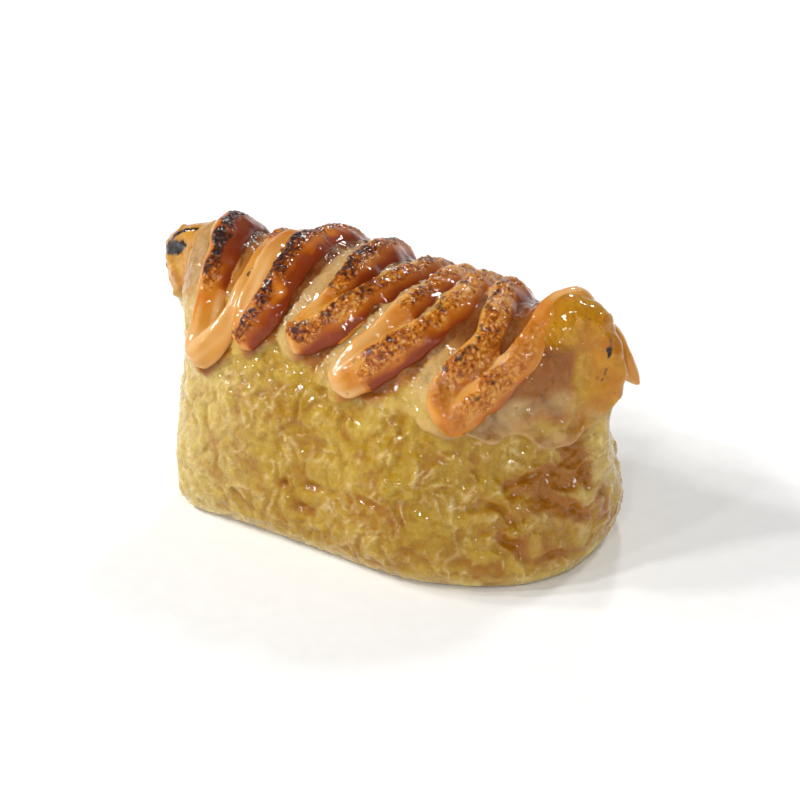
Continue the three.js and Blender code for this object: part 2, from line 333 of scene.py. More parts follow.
# %% Lay the film
# How low the film reaches on the front at places along the ridge: x, z in mm.
FILM_EDGE = [
    (-38, 27),
    (-30, 27),
    (-26.6, 23.5),
    (-21, 24),
    (-17.5, 27.6),
    (-13.5, 29),
    (-9.5, 29),
    (-5.5, 26.7),
    (-0.5, 25),
    (9.5, 25),
    (13, 24),
    (17, 23.3),
    (20, 21.8),
    (23, 21),
    (26.4, 18.8),
    (28.4, 19.7),
    (31, 21),
    (33, 25),
]
BACK_FILM_EDGE = 27  # mm, its height all along the back
behind = smoothstep(-1, 9, y)
edge = np.interp(x, *np.transpose(FILM_EDGE)) * (1 - behind) + BACK_FILM_EDGE * behind
film = smoothstep(-0.5, 0.5, z - edge + 0.8 * rumple(place, 5, seed=61.0))
print("share of the skin under the film:", round((film > 0.5).mean(), 2))

# %% Measure from the strand
line_tree = kdtree.KDTree(len(skin_line))
for index, stop in enumerate(skin_line):
    line_tree.insert(stop, index)
line_tree.balance()
found = [line_tree.find(spot) for spot in place]
strand_gap = np.array([distance for _, _, distance in found])
beside = place[:, 0] - skin_line[[index for _, index, _ in found], 0]
rightward = smoothstep(-1.5, 1.5, beside)  # 1 to the right of the nearest limb
print("farthest skin from the strand, mm:", round(strand_gap.max()))

# %% Bank the film up against the strand
bank = smoothstep(5.2, 1.8, strand_gap)
film = np.maximum(film, smoothstep(3.4, 2.6, strand_gap + 0.5 * drift[:, 1]))
lip = film * (1 - film) * 4
hem = film * smoothstep(2.0, 0.4, z - edge) * smoothstep(6, 14, x) * frontward  # the thick edge at the right
between = smoothstep(-45, -18, angle) * smoothstep(52, 30, angle) * smoothstep(8, 3, strand_gap)
print("share of the skin between the limbs:", round((between > 0.5).mean(), 2))

# %% [markdown]
# ## Scorch marks
# Where the flame licked the bare hide, on the ears and along the ridge, it left black marks with ragged
# rims. Noise alone can't put them where the flame was, and painting them by hand can't be written down
# as steps. So each mark is a short line with a radius, and a number on each vertex says how near its
# middle it is. The material breaks the rim up with noise.

# %% Place the marks
# From x, y, z to x, y, z in the frame's mm, radius, darkness.
SCORCHES = [
    (-35.2, -3.4, 32.8, -32.0, -3.7, 34.6, 0.72, 1.0),
    (-34.6, -3.5, 33.1, -33.3, -3.6, 33.9, 1.05, 1.0),
    (-32.4, -3.7, 34.5, -31.6, -3.7, 34.6, 0.30, 0.8),
    (-35.9, -3.2, 31.2, -35.2, -3.5, 33.6, 0.34, 0.9),
    (-35.2, -3.4, 33.6, -34.0, -3.5, 35.3, 0.34, 0.9),
    (-34.0, -3.5, 35.3, -31.9, -3.3, 36.6, 0.34, 0.9),
    (-31.9, -3.3, 36.6, -30.0, -3.0, 37.2, 0.30, 0.8),
    (-36.3, -3.1, 31.4, -36.2, -2.9, 29.9, 0.50, 0.9),
    (-35.8, -2.6, 27.6, -35.7, -2.6, 26.8, 0.35, 0.7),
    (-28.6, 0.0, 37.6, -25.0, 0.5, 37.2, 0.60, 0.9),
    (-22.6, 1.0, 37.2, -20.6, 1.0, 37.0, 0.70, 0.8),
    (-23.9, -1.4, 35.5, -23.6, -1.4, 35.4, 0.65, 1.0),
    (-10.8, -2.9, 36.8, -10.0, -2.9, 36.6, 0.50, 0.8),
    (28.8, 2.4, 37.8, 31.6, 1.4, 36.7, 0.28, 0.8),
    (31.9, 2.2, 36.9, 33.3, 1.7, 35.0, 0.28, 0.9),
    (33.8, 1.4, 34.4, 34.1, 1.2, 33.2, 0.38, 1.0),
    (34.2, 1.2, 32.6, 34.1, 1.2, 31.8, 0.25, 0.8),
    (34.0, 1.1, 30.8, 33.8, 1.0, 29.6, 0.25, 0.8),
    (33.5, 1.0, 28.9, 32.9, 0.9, 27.9, 0.30, 0.8),
    (33.6, 0.8, 26.6, 33.4, 0.8, 25.6, 0.22, 0.6),
]
SCORCH_REACH = 2.5  # radii from a mark's middle to where it has faded out


def scorched(points):
    """How near each point is to a mark: 0.6 on its rim, 1 at its middle, 0 out of reach."""
    near = np.zeros(len(points))
    for *ends, radius, darkness in SCORCHES:
        start, end = np.array(ends[:3]), np.array(ends[3:])
        share = np.clip((points - start) @ (end - start) / ((end - start) @ (end - start)), 0, 1)
        away = np.linalg.norm(points - start - share[:, None] * (end - start), axis=1) / radius
        near = np.maximum(near, (0.75 + 0.25 * darkness) * np.clip(1 - away / SCORCH_REACH, 0, 1))
    return near


print("scorch marks:", len(SCORCHES))

# %% [markdown]
# ## Drops of fat
# Small drops of fat stand on the film, most of them on the bare stretch at the right. A sphere for each
# would sink into the film with a hard edge, so each drop is a low dome pushed up out of the skin.

# %% Drops on the film
DROPS = 46
random = np.random.default_rng(5)
bare = smoothstep(2.6, 4, strand_gap) * frontward * (x < 30)
open_film = (film > 0.95) * bare * (0.25 + smoothstep(8, 18, x))
drop_tree = kdtree.KDTree(DROPS)
for index in random.choice(len(place), DROPS, replace=False, p=open_film / open_film.sum()):
    drop_tree.insert(place[index], int(index))
drop_tree.balance()
nearest_drop = [drop_tree.find(spot) for spot in place]
drop_gap = np.array([distance for _, _, distance in nearest_drop])
drop_number = np.array([index for _, index, _ in nearest_drop])
drop_size = 0.5 + 0.4 * (drop_number % 7) / 6  # mm across half, in seven sizes
drops = np.sqrt(np.clip(1 - (drop_gap / drop_size) ** 2, 0, 1))
print("share of the skin under drops:", round((drops > 0).mean(), 4))

# %% [markdown]
# ## Where the melted sauce gathers
# The film isn't the same everywhere. Between the right limbs it lies in deep glassy caramel, painted
# darker still as painted shade from the limbs on either side. Beside the last limb it is a brown slope
# that runs down into a thick milky sag, and over the right ear it thins out, so that the golden hide
# shows. Each of these places gets a share of its own, worked out from where it is along the ridge and
# how high, and the shares steer the relief and the colours below.

# %% Places on the right end
valley = between * smoothstep(7, 12, x) * smoothstep(-38, -20, angle)
ear_face = smoothstep(26.5, 29.5, x) * smoothstep(22, 27, z)
ear_top = smoothstep(21.5, 23.5, x) * smoothstep(32, 34.5, z)
shoulder = np.maximum(ear_face, ear_top)
slope = smoothstep(20.5, 22.5, x) * smoothstep(30, 26.5, x) * smoothstep(24, 27.5, z)
slope *= (1 - shoulder) * frontward
low_right = smoothstep(13, 16, x) * smoothstep(28.5, 26, z) * smoothstep(29, 26, x) * frontward
sagging = smoothstep(15, 19, x) * smoothstep(30, 22, z) * smoothstep(33, 29, x) * frontward
glassy = np.max([valley, 0.7 * slope, 0.65 * low_right, 0.4 * shoulder], axis=0)
print("share of the film that is glassy:", round((glassy > 0.5).sum() / (film > 0.5).sum(), 2))

# %% Press the relief into the skin
FILM_THICKNESS = 0.30  # mm
FLAT_FOOT = 0.02  # mm, below which the skin lies on the board
lay = smoothstep(0, 1.5, z)  # the underside lies flat
lift = (relief - creased) * (1 - 0.75 * film) + FILM_THICKNESS * (film + 0.4 * lip)
ripples = 0.12 * rumple(place, 1.5, seed=63.0) + 0.03 * rumple(place, 0.8, seed=64.0)
choppy = 0.3 + 1.1 * smoothstep(-0.5, 1.0, rumple(place, 4, seed=66.0)) + 0.5 * smoothstep(12, 16, x)
ripples *= (1 - 0.8 * valley) * choppy
ripples += 0.26 * low_right * rumple(place, 3, (2.2, 1, 1), seed=70.0)
lift += film * (0.5 * bank + 0.7 * between + ripples + 0.3 * drops + 0.25 * hem + 0.8 * sagging)
shaped = place + out * (lift * lay)[:, None]
shaped[:, 2] = np.where(z < FLAT_FOOT, 0, np.maximum(shaped[:, 2], 0.01))
skin.vertices.foreach_set("co", (shaped * MM).ravel())
skin.update()
skin.shade_smooth()
print("skin relief, mm:", round(lift.min(), 2), "to", round(lift.max(), 2))

# %% [markdown]
# ## What the tofu's material has to know
# A material can't tell a crease from a crest, or thick sauce from thin. So each vertex keeps a few
# numbers under a name, and the material reads them by that name.


# %% Numbers for the hide
def store(mesh, name, values):
    """Keeps one number a vertex under a name, for the material to read."""
    mesh.attributes.new(name, "FLOAT", "POINT").data.foreach_set("value", values.astype(np.float32))


pale_crest = smoothstep(0.2, 1.8, crests) * smoothstep(-1.0, 1.0, rumple(place, 3, seed=33.0))
# The hide is paler along the foot and on the right end. It is paler towards the left too, partly its
# own colour and partly painted light from the key lamps on that side.
pale_and_lit = 0.85 * smoothstep(-6, -34, x) + 0.5 * smoothstep(3.5, 0.8, z)
pale_and_lit += 0.5 * smoothstep(25, 31, x) * smoothstep(28, 20, z) * smoothstep(7, 12, z)
ear = smoothstep(27, 30.5, x) * smoothstep(24, 29, z) + smoothstep(-30.5, -33, x) * smoothstep(24, 29, z)
ear = np.clip(np.maximum(ear, 0.9 * shoulder), 0, 1) * (1 - slope)
store(skin, "crest", pale_crest)
# depth is 1 on the puffs and 0 in their valleys; the material uses it for painted shade in the valleys.
store(skin, "depth", smoothstep(-1.5, 1.5, puffs))
store(skin, "pale_and_lit", np.clip(pale_and_lit, 0, 1))
store(skin, "stain_and_shade", stained)
store(skin, "ear", ear)
store(skin, "scorch", scorched(shaped))
print("share of the hide that is pale:", round((pale_and_lit > 0.5).mean(), 2))

# %% How far the film has turned to caramel, with painted shade beside the limbs
# Painted shade: right of each limb and between the limbs the film is browner for the shade the limbs cast, on
# top of the sauce's own caramel.
caramel_and_shade = 0.22 + 0.6 * rightward * smoothstep(6, 2.2, strand_gap) + 0.6 * between
caramel_and_shade = caramel_and_shade * (1 - 0.75 * shoulder) - 0.2 * (1 - rightward) * bank + 0.08 * rumple(place, 3, seed=65.0)
caramel_and_shade += smoothstep(14, 22, x) * (0.12 + 0.12 * rumple(place, 4, seed=67.0)) * (1 - shoulder)
caramel_and_shade = np.maximum(caramel_and_shade, 0.95 * valley + 0.04 * drift[:, 0])
caramel_and_shade = np.maximum(caramel_and_shade, (0.62 + 0.12 * drift[:, 2]) * slope)
caramel_and_shade -= slope * np.maximum(caramel_and_shade - 0.7, 0)
caramel_and_shade += 0.2 * low_right
store(skin, "film", film)
store(skin, "caramel_and_shade", np.clip(caramel_and_shade, 0, 1))
store(skin, "glassy", glassy)
print("mean caramel in the film:", round(caramel_and_shade[film > 0.5].mean(), 2))

# %% Where the film is milky
milky = smoothstep(-0.2, 1.4, rumple(bent, 3.5, seed=68.0))
milky *= smoothstep(-0.8, 0.6, rumple(place, 8, seed=69.0))
# Painted light: the film left of each limb, which faces the key lamps, is made creamier.
lit_left_bank = (1 - rightward) * smoothstep(6, 2.8, strand_gap) * smoothstep(-62, -45, angle) * (x < 17)
milky = np.maximum(milky, lit_left_bank * np.maximum(smoothstep(-17, -13, x), 0.7 * smoothstep(-25, -28, x)))
milky *= (1 - shoulder) * (1 - valley) * (1 - 0.85 * slope)
milky = np.maximum(milky, np.maximum(0.8 * hem, low_right * (0.75 + 0.25 * drift[:, 1])))
store(skin, "milky", milky)
tofu_skin = bpy.data.objects.new("tofu_skin", skin)
bpy.context.scene.collection.objects.link(tofu_skin)
print("share of the skin that is milky:", round((milky > 0.5).mean(), 3))

# %% [markdown]
# ## The mayonnaise
# A piped strand is a soft tube that sinks a little on the skin and leans over. A curve with a bevel
# would have the same section all along, so the strand is swept by hand: a ring of points at each step
# of the line, as thick as the stops say, with its crest to the left and its flank spread to the right.
# Its far end comes off the skin and hangs down behind the right ear as a thin tail.

# %% The strand's middle line
HALF_WIDTH = 2.35  # mm
HALF_HEIGHT = 2.0
LIFT = 1.0  # of the strand's middle above the skin
# The tail behind the right ear: x, y, z in mm from the middle of the foot, and its thickness.
TAIL = [
    (28.4, 7.9, 31.2, 0.95),
    (30.8, 7.3, 28.6, 0.85),
    (32.4, 7.1, 27.0, 0.5),
    (33.5, 7.0, 26.0, 0.2),
]
TAIL_OUT = [0.0, 0.9, 0.44]  # its outward direction, to the back and up
TAIL_TORCHING = 0.02

travelled = np.arange(len(route)) * STEP
start_round = np.sqrt(1 - (1 - np.clip(travelled / HALF_WIDTH, 0.02, 1)) ** 2)
thickness = route[:, 2] * (1 + 0.05 * rumple(skin_line, 4, seed=71.0)) * start_round
middle = skin_line + skin_out * (LIFT * thickness)[:, None]
tail_stops = np.array(TAIL) + [FOOT_MIDDLE, 0, 0, 0]
tail_line = through([(*middle[-1], thickness[-1]), *tail_stops])[1:]
middle = np.vstack([middle, tail_line[:, :3]])
thickness = np.concatenate([thickness, tail_line[:, 3]])
torched = np.concatenate([route[:, 3], np.full(len(tail_line), TAIL_TORCHING)])
strand_out = np.vstack([skin_out, np.tile(TAIL_OUT, (len(tail_line), 1))])
print("strand half widths, mm:", round((HALF_WIDTH * thickness).max(), 2), "at most")

# %% Sweep the rings
RING = 20  # points
FLANK_SPREAD = 0.25  # by which the right flank is wider
CREST_LEAN = 0.25  # by which the crest leans to the left
CREST_PINCH = 0.32  # by which the section narrows towards its crest

onwards = np.gradient(middle, axis=0)
onwards /= np.linalg.norm(onwards, axis=1)[:, None]
across = np.cross(onwards, strand_out)
across /= np.linalg.norm(across, axis=1)[:, None]
up = np.cross(across, onwards)
turns = np.linspace(0, 2 * math.pi, RING, endpoint=False)
crest = np.maximum(0, np.sin(turns))
rightwards = across[:, :1]
rounded = np.cos(turns) * (1 - CREST_PINCH * crest) * (1 + FLANK_SPREAD * rightwards * np.cos(turns))
sideways = HALF_WIDTH * thickness[:, None] * (rounded - CREST_LEAN * rightwards * crest)
upwards = HALF_HEIGHT * thickness[:, None] * np.sin(turns)
rings = middle[:, None] + across[:, None] * sideways[..., None] + up[:, None] * upwards[..., None]
print("rings:", len(rings))

# %% Join the rings and close the two ends
caps = [rings[0].mean(0), rings[-1].mean(0) + onwards[-1] * 0.4]
count = len(rings)
sweep_faces = [
    (i * RING + j, i * RING + (j + 1) % RING, (i + 1) * RING + (j + 1) % RING, (i + 1) * RING + j)
    for i in range(count - 1)
    for j in range(RING)
]
sweep_faces += [(count * RING, (j + 1) % RING, j) for j in range(RING)]
last = (count - 1) * RING
sweep_faces += [(count * RING + 1, last + j, last + (j + 1) % RING) for j in range(RING)]
sweep_points = np.vstack([rings.reshape(-1, 3), caps])
print("faces of the sweep:", len(sweep_faces))

# %% [markdown]
# The sweep is then wrapped in an even mesh, like the pouch. Limbs that touch melt into each other in
# it, as soft sauce does, and its squares are small enough for the grain of the crust.

# %% Wrap the strand
SAUCE_SQUARE = 0.252  # mm
SAUCE_RELAXING = 5
sauce = even_skin(sweep_points, sweep_faces, SAUCE_SQUARE, SAUCE_RELAXING)
spot = points_of(sauce)
facing = normals_of(sauce)
print("sauce squares:", len(sauce.polygons))

# %% Where each vertex is on the strand
middle_tree = kdtree.KDTree(len(middle))
for index, centre in enumerate(middle):
    middle_tree.insert(centre, index)
middle_tree.balance()
nearest = np.array([middle_tree.find(p)[1] for p in spot])
from_middle = spot - middle[nearest]
height = (from_middle * strand_out[nearest]).sum(1) / (HALF_HEIGHT * thickness[nearest])
aside = (from_middle * across[nearest]).sum(1) / HALF_WIDTH
right_of_crest = aside * across[nearest, 0]
along = np.arange(len(middle)) * STEP  # mm of strand piped so far
ridge_place = spot[:, 0] - FOOT_MIDDLE
heat = torched[nearest]
print("mm of strand:", round(along[-1]))

# %% [markdown]
# ## The torched crust
# The flame comes from above and from the left. It sets a grainy crust along the left of each crest, it
# turns the right flank to smooth caramel, and the low ends of the loops stay raw. The right flank is
# also painted darker, most of all low down beside the film, which is painted shade on the side away
# from the key lamps, and the low left rim is painted paler as painted light. One noise all over the
# strand would crust both flanks alike. So the crust is a band that follows the crest, and the grain,
# the char and the pits stay inside it.

# %% How far each vertex is toasted, with painted shade on the right flank
patchy = rumple(spot, 2.4, seed=81.0)
right_face = smoothstep(-0.35, 0.5, facing[:, 0] + 0.15 * patchy)
# The crust reaches a little past the crest, and farther on the two right limbs.
crust_reach = 0.15 * smoothstep(-1, 3, ridge_place) + 0.30 * smoothstep(16, 19, ridge_place)
crested = smoothstep(0.66, 0.30, right_of_crest + 0.10 * patchy - crust_reach)
top = smoothstep(0.0, 0.75, height + 0.10 * patchy - 0.45 * (1 - right_face)) * (0.3 + 0.7 * crested)
# Painted shade: the right flank is made darker, most of all low down beside the film.
low_shade = smoothstep(0.95, 0.1, height) * smoothstep(0.38, 0.46, heat)
shaded_right_flank = 0.08 + smoothstep(0.1, 0.5, heat) * (0.14 + 0.36 * low_shade)
flank = 0.02 + 0.04 * heat + right_face * shaded_right_flank
toast_and_shade = flank + (heat - flank) * top + 0.07 * patchy * top * smoothstep(0.2, 0.6, heat)
toast_and_shade = np.clip(toast_and_shade, 0, 1)
print("share of the strand still raw:", round((toast_and_shade < 0.2).mean(), 2))

# %% The band of crust
narrower = 0.15 * smoothstep(-8, -12, ridge_place)  # the band is narrower at the left end
band = smoothstep(0.15, 0.5, height + 0.14 * patchy - 0.35 * (1 - right_face) - narrower)
crusty = band * smoothstep(0.30, 0.46, heat) * crested
grain = np.abs(rumple(spot, 0.8, seed=91.0))
rise = crusty * (0.10 * (1 - grain) + 0.04 * rumple(spot, 0.45, seed=95.0))  # mm
rise = rise + 0.07 * rumple(spot, 2.6, seed=99.0)
print("share of the strand with crust:", round((crusty > 0.5).mean(), 2))

# %% Char on the crest, cream on the raw rim
crest_line = np.exp(-(((aside + 0.35 * across[nearest, 0]) / 0.42) ** 2)) * smoothstep(0.3, 0.8, height)
ragged = 0.25 * rumple(spot, 1.1, seed=103.0)
char = smoothstep(0.35, 0.95, crest_line * (0.25 + 0.85 * heat) + ragged)
# Streaks of paler cream run along the strand, and its low left rim is all cream, partly its own
# colour and partly painted light on the side that faces the key lamps.
strand_place = np.stack([along[nearest] / 7, aside * 1.6, height * 1.6], 1)
streaks = rumple(strand_place, 1, seed=101.0)
rim = smoothstep(0.6, 0.0, height) * (1 - right_face)
cream = np.clip(0.45 * streaks + 0.6 * rim + 0.1, 0, 1)
print("share of the crust that is charred:", round((char[crusty > 0.5] > 0.5).mean(), 2))

# %% Raise the crust and keep the strand's numbers
spot = spot + facing * rise[:, None]
sauce.vertices.foreach_set("co", (spot * MM).ravel())
store(sauce, "toast_and_shade", toast_and_shade)
store(sauce, "crusty", crusty)
store(sauce, "cream", cream)
store(sauce, "char", char * crusty)
store(sauce, "scorch", scorched(spot))
sauce.update()
sauce.shade_smooth()
mayonnaise = bpy.data.objects.new("mayonnaise", sauce)
bpy.context.scene.collection.objects.link(mayonnaise)
print("crust relief, mm:", round(rise.min(), 2), "to", round(rise.max(), 2))

# %% [markdown]
# ## Materials
# Both finishes are wet food: light goes in, scatters and comes out coloured, and a thin film of fat on
# top gives small sharp glints. A plain colour with a low roughness would look like painted plastic. So
# both use subsurface scattering under a clear coat, with one bump for what lies below and another for
# the wet layer on top. Two functions are enough for all of it: one turns a colour to linear, and one
# adds a node.


# %% One function for colours and one for nodes
def linear(hex_colour):
    """A #rrggbb sRGB colour as the linear values that the shader mixes."""
    values = [int(hex_colour[i : i + 2], 16) / 255 for i in (1, 3, 5)]
    return (*[v / 12.92 if v <= 0.04045 else ((v + 0.055) / 1.055) ** 2.4 for v in values], 1)


def add(tree, kind, sockets=None, out=0, stops=None, **settings):
    """Adds a shader node and gives one output of it. A socket takes a value or another node's output,
    stops are the places and colours of a ramp, from low to high, and settings go by their names."""
    made = tree.nodes.new("ShaderNode" + kind)
    for name, value in settings.items():
        setattr(made, name, value)
    for name, value in (sockets or {}).items():
        if isinstance(value, bpy.types.NodeSocket):
            tree.links.new(value, made.inputs[name])
        else:
            made.inputs[name].default_value = value
    if stops:
        ramp = made.color_ramp.elements
        ramp[0].position, ramp[0].color = stops[0]
        ramp[1].position, ramp[1].color = stops[-1]
        for position, colour in stops[1:-1]:
            ramp.new(position).color = colour
    return made.outputs[out] if made.outputs else None


# Sockets that have a number in place of a name of their own.
SHARE, UNDER, OVER, MIXED = 0, 6, 7, 2  # a Mix node for colours: three inputs and its output
FROM_LOW, FROM_HIGH, TO_LOW, TO_HIGH = 1, 2, 3, 4  # a Map Range node; its value is input 0

# %% [markdown]
# ## Fried tofu, simmered
# The hide was fried and then simmered in soy and sugar. Frying leaves it mottled gold, paler on the
# crests, and the syrup turns it brown in the creases. Each of these is a layer of colour laid over the
# last by its own share. The mottling has grains of just under a millimetre in clouds of four.

# %% The hide's colours
fried = bpy.data.materials.new("simmered_fried_tofu")
fried.use_nodes = True
tree = fried.node_tree
tree.nodes.clear()
where = add(tree, "TexCoord", out="Object")
kept = [attribute.name for attribute in skin.attributes if attribute.data_type == "FLOAT"]
value = {name: add(tree, "Attribute", attribute_name=name, out="Fac") for name in kept}
clouds = add(tree, "TexNoise", {"Vector": where, "Scale": 1 / (4 * MM), "Detail": 4.0})
mottle = add(tree, "TexNoise", {"Vector": where, "Scale": 1 / (0.9 * MM), "Detail": 6.0, "Roughness": 0.65})
tone = add(tree, "Math", {0: clouds, 1: 1.0, 2: -0.62}, operation="MULTIPLY_ADD")
tone = add(tree, "Math", {0: mottle, 1: 0.8, 2: tone}, operation="MULTIPLY_ADD")
# Painted shade: the tone falls in the valleys between the puffs and rises on their tops.
tone = add(tree, "Math", {0: value["depth"], 1: 0.28, 2: tone}, operation="MULTIPLY_ADD")
HIDE_TONES = [(0.0, "#8c5200"), (0.35, "#9c7408"), (0.65, "#ac8a28"), (1.0, "#c4ac60")]
hide = add(tree, "ValToRGB", {"Fac": tone}, stops=[(at, linear(tint)) for at, tint in HIDE_TONES])
veins = add(tree, "Math", {0: value["crest"], 1: mottle}, operation="MULTIPLY")
patches = add(tree, "Math", {0: mottle, 1: 1.3, 2: 0.1}, operation="MULTIPLY_ADD")
# Painted light: towards the left this paleness stands partly for the key lamps on that side.
paler = add(tree, "Math", {0: value["pale_and_lit"], 1: patches}, operation="MULTIPLY")
# The stain number also carries painted shade at the right end.
deep_stain = add(
    tree, "MapRange", {0: value["stain_and_shade"], FROM_LOW: 0.45, FROM_HIGH: 1.0, TO_LOW: 0.0, TO_HIGH: 0.6}
)
hide_layers = [(veins, "#dcc38c"), (paler, "#d0be7c"), (value["stain_and_shade"], "#946000"), (deep_stain, "#8e5000")]
for share, tint in hide_layers:
    hide = add(tree, "Mix", {SHARE: share, UNDER: hide, OVER: linear(tint)}, MIXED, data_type="RGBA")
print("layers of colour on the hide:", len(hide_layers))

# %% [markdown]
# ## The film's colours
# Melted mayonnaise is clear and straw-coloured where it is thin, brown where it has turned to caramel,
# and milky where it has stayed thick. Browned crumbs from the strand lie in it as flecks, one in about
# 2.6 mm. On the ears it is so thin that the golden hide shows through.

# %% Film over hide, and the scorch marks
# The caramel share carries painted shade beside the limbs as well as the sauce's own browning.
browned = add(tree, "Math", {0: mottle, 1: 0.3, 2: -0.15}, operation="MULTIPLY_ADD")
browned = add(tree, "Math", {0: value["caramel_and_shade"], 1: 1.05, 2: browned}, operation="MULTIPLY_ADD")
FILM_TONES = [(0.0, "#b89e44"), (0.25, "#a87c1c"), (0.55, "#985400"), (1.0, "#601e00")]
melted = add(tree, "ValToRGB", {"Fac": browned}, stops=[(at, linear(tint)) for at, tint in FILM_TONES])
GOLDEN_TONES = [(0.35, "#a86400"), (0.65, "#c08a14")]
golden = add(tree, "ValToRGB", {"Fac": clouds}, stops=[(at, linear(tint)) for at, tint in GOLDEN_TONES])
milk = add(tree, "Math", {0: value["milky"], 1: 0.7}, operation="MULTIPLY")
fleck_gap = add(tree, "TexVoronoi", {"Vector": where, "Scale": 1 / (2.6 * MM)})
flecks = add(tree, "MapRange", {0: fleck_gap, FROM_LOW: 0.12, FROM_HIGH: 0.06, TO_LOW: 0.0, TO_HIGH: 0.7})
for share, tint in ((milk, linear("#c4a670")), (value["ear"], golden), (flecks, linear("#8c4a10"))):
    melted = add(tree, "Mix", {SHARE: share, UNDER: melted, OVER: tint}, MIXED, data_type="RGBA")
cover = add(tree, "Math", {0: value["film"], 1: 0.88}, operation="MULTIPLY")  # a little hide shows through
colour = add(tree, "Mix", {SHARE: cover, UNDER: hide, OVER: melted}, MIXED, data_type="RGBA")
torn = add(tree, "TexNoise", {"Vector": where, "Scale": 1 / (0.7 * MM), "Detail": 3.0})
scorch = add(tree, "Math", {0: torn, 1: 0.5, 2: value["scorch"]}, operation="MULTIPLY_ADD")
scorch = add(tree, "MapRange", {0: scorch, FROM_LOW: 0.74, FROM_HIGH: 0.92})
colour = add(tree, "Mix", {SHARE: scorch, UNDER: colour, OVER: linear("#1d1713")}, MIXED, data_type="RGBA")
print("nodes so far:", len(tree.nodes))

# %% [markdown]
# ## The wet layer
# Syrup and fat lie on the hide and pucker in fine winding ripples. The sine of a smooth noise gives
# contour lines, so the glints on it are thin and winding too. The layer is smooth where the sauce is
# glassy. To the eye the hide itself stays soft and matt under it, with crinkles of 0.8 mm.

# %% Crinkles, ripples and the shader
RIPPLES = 16.0  # radians of ripple from the low of the noise to its high
crinkle = add(tree, "TexNoise", {"Vector": where, "Scale": 1 / (0.8 * MM), "Detail": 3.0})
crinkled = add(tree, "Bump", {"Height": crinkle, "Strength": 0.9, "Distance": 0.4 * MM})
wet_waves = add(tree, "TexNoise", {"Vector": where, "Scale": 1 / (3.0 * MM), "Detail": 1.0})
wet_waves = add(tree, "Math", {0: wet_waves, 1: RIPPLES}, operation="MULTIPLY")
wet_waves = add(tree, "Math", {0: wet_waves}, operation="SINE")
puckers = add(tree, "TexNoise", {"Vector": where, "Scale": 1 / (1.2 * MM), "Detail": 0.0})
wet_height = add(tree, "Math", {0: puckers, 1: 3.0, 2: wet_waves}, operation="MULTIPLY_ADD")
puckered = add(tree, "Math", {0: value["glassy"], 1: -0.85, 2: 1.0}, operation="MULTIPLY_ADD")
wet = add(tree, "Bump", {"Height": wet_height, "Strength": puckered, "Distance": 0.09 * MM})
hide_shader = add(
    tree,
    "BsdfPrincipled",
    {
        "Base Color": colour,
        "Roughness": 0.5,
        "IOR": 1.4,
        "Specular IOR Level": 0.1,
        "Subsurface Weight": 0.35,
        "Subsurface Radius": (1.0, 0.5, 0.15),  # red goes deepest
        "Subsurface Scale": 1.1 * MM,
        "Coat Weight": 1.0,
        "Coat Roughness": 0.06,
        "Coat IOR": 1.38,
        "Normal": crinkled,
        "Coat Normal": wet,
    },
)
add(tree, "OutputMaterial", {"Surface": hide_shader})
skin.materials.append(fried)
print("nodes in the tofu's material:", len(tree.nodes))

# %% [markdown]
# ## Mayonnaise, torched
# Mayonnaise is an emulsion of oil and egg, so it is opaque and peach-coloured when raw. The flame first
# turns it to smooth caramel, and then dries its top to a crust of grains of 0.8 mm, dark in the seams
# between them and charred on the crest. To the eye the flanks are satin and deep brown, and the crust
# is rough gold and black. The smooth and the crusty colours are a ramp each, and the crust's own share
# mixes them.

# %% Grains and their seams
torched_mayo = bpy.data.materials.new("torched_mayonnaise")
torched_mayo.use_nodes = True
tree = torched_mayo.node_tree
tree.nodes.clear()
GRAIN = 0.8 * MM
BEND = 0.7 * MM  # by which noise bends the grains out of line
where = add(tree, "TexCoord", out="Object")
kept = [attribute.name for attribute in sauce.attributes if attribute.data_type == "FLOAT"]
value = {name: add(tree, "Attribute", attribute_name=name, out="Fac") for name in kept}
specks = add(tree, "TexNoise", {"Vector": where, "Scale": 1 / (0.62 * MM), "Detail": 3.0, "Roughness": 0.6})
wobble = add(tree, "TexNoise", {"Vector": where, "Scale": 1 / (0.7 * MM), "Detail": 3.0}, "Color")
bent_place = add(tree, "VectorMath", {0: wobble, 1: (BEND, BEND, BEND), 2: where}, operation="MULTIPLY_ADD")
to_seam = add(tree, "TexVoronoi", {"Vector": bent_place, "Scale": 1 / GRAIN}, feature="DISTANCE_TO_EDGE")
# Scorched seams between the grains: 1 in a seam, fading out a third of a grain away.
fading = {0: to_seam, FROM_LOW: 0.0, FROM_HIGH: 0.3, TO_LOW: 1.0, TO_HIGH: 0.0}
seams = add(tree, "MapRange", fading, interpolation_type="SMOOTHSTEP")
seams = add(tree, "Math", {0: seams, 1: value["crusty"]}, operation="MULTIPLY")
uneven = add(tree, "Math", {0: specks, 1: 1.0, 2: -0.5}, operation="MULTIPLY_ADD")
uneven = add(tree, "Math", {0: uneven, 1: value["crusty"]}, operation="MULTIPLY")
print("grains across the strand:", round(2 * HALF_WIDTH * MM / GRAIN, 1))

# %% Raw, caramel, crust and char
# The toast number also carries the painted shade of the right flanks.
heated = add(tree, "Math", {0: value["scorch"], 1: 0.5, 2: value["toast_and_shade"]}, operation="MULTIPLY_ADD")
smooth_heat = add(tree, "Math", {0: uneven, 1: 0.5, 2: heated}, operation="MULTIPLY_ADD")
CARAMEL_TONES = [(0.0, "#c6924c"), (0.14, "#c08028"), (0.35, "#b46208"), (0.56, "#7e2e00"), (1.0, "#682400")]
caramelled = add(
    tree, "ValToRGB", {"Fac": smooth_heat}, stops=[(at, linear(tint)) for at, tint in CARAMEL_TONES]
)
